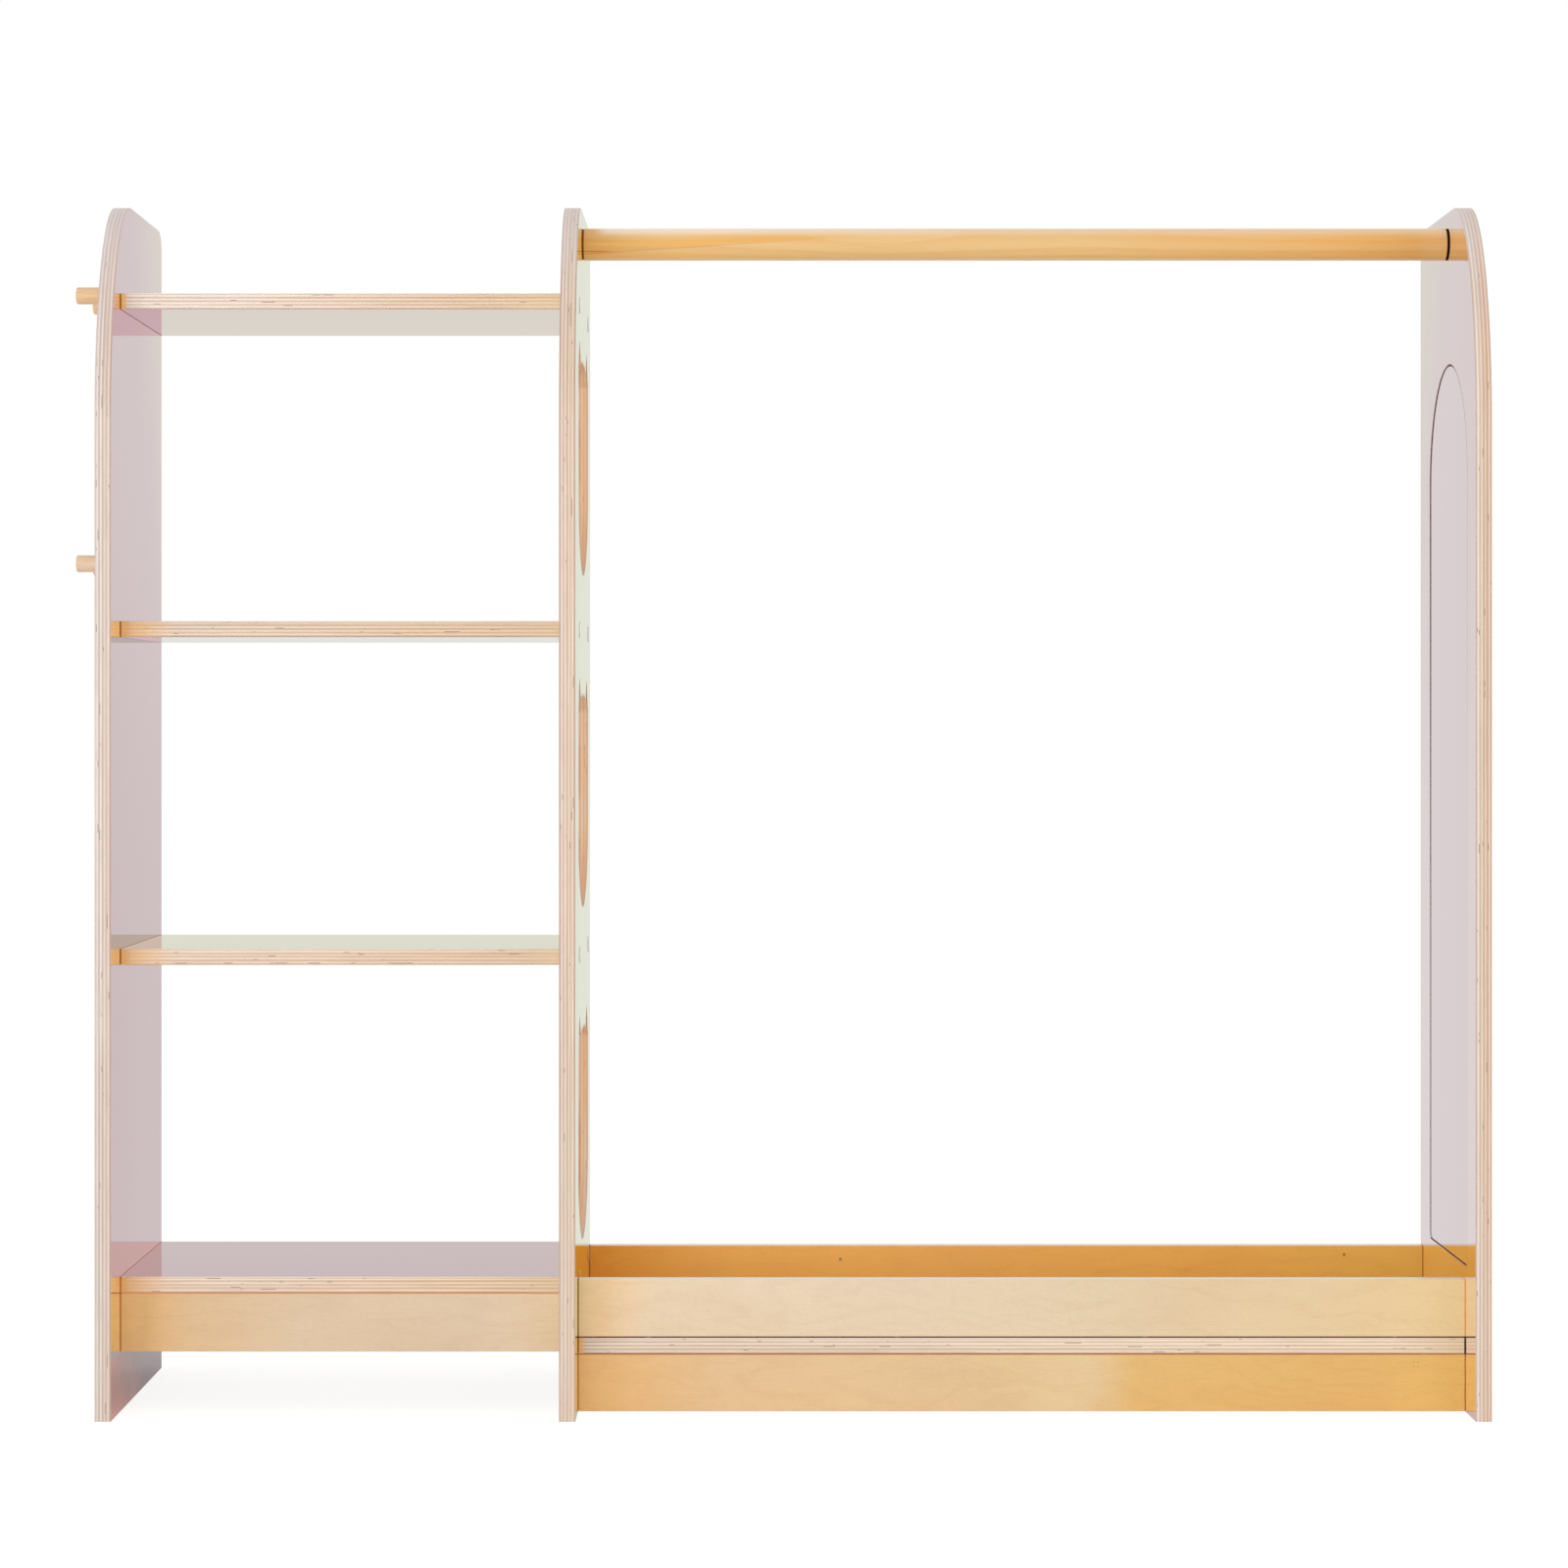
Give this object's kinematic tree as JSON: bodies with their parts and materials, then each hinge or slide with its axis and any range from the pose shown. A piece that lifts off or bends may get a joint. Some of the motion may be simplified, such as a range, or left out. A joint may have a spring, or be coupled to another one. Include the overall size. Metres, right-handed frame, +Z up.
{
  "type": "children's dress-up storage unit",
  "caption": "Open ply storage unit for a child's dress-up clothes: shelves beside a hanging bay with a round rail, shoe tray, arched side mirror, cut-out windows and coat pegs.",
  "frame": {"origin": "on the floor, at the middle of the whole unit's width and depth, pegs included", "axes": "+X to the right as seen from the front, from the shelf bay to the hanging bay; +Y to the back, so the unit faces -Y; +Z up"},
  "size_m": [1.4038, 0.34, 1.2025],
  "materials": {
    "coated_ply": "birch ply with a glossy white laminate on both faces and bare, lacquered ply edges",
    "birch": "clear matt lacquer on birch",
    "pine": "clear satin lacquer on pine",
    "mirror": "silvered acrylic sheet",
    "tape": "foam tape, sticky both sides",
    "beech": "clear matt lacquer on beech",
    "steel": "zinc plated",
    "cap_plastic": "smooth moulded plastic"
  },
  "bodies": {
    "root": {"left_side_panel": "coated_ply", "divider_panel": "coated_ply", "right_side_panel": "coated_ply", "top_shelf": "coated_ply", "upper_shelf": "coated_ply", "lower_shelf": "coated_ply", "bottom_shelf": "coated_ply", "tray_base": "coated_ply", "shelf_plinth": "birch", "tray_front_lip": "birch", "tray_back_board": "birch", "tray_plinth": "birch", "hanging_rail": "pine", "mirror": "mirror", "mirror_tape": "tape", "upper_front_peg": "beech", "upper_rear_peg": "beech", "lower_front_peg": "beech", "lower_rear_peg": "beech", "plinth_dowels": "beech", "tray_dowels": "beech", "left_shelf_screws": "steel", "divider_shelf_screws": "steel", "tray_screws": "steel", "rail_screws": "steel", "left_shelf_caps": "cap_plastic", "divider_shelf_caps": "cap_plastic", "tray_caps": "cap_plastic", "rail_caps": "cap_plastic"}
  },
  "joints": []
}
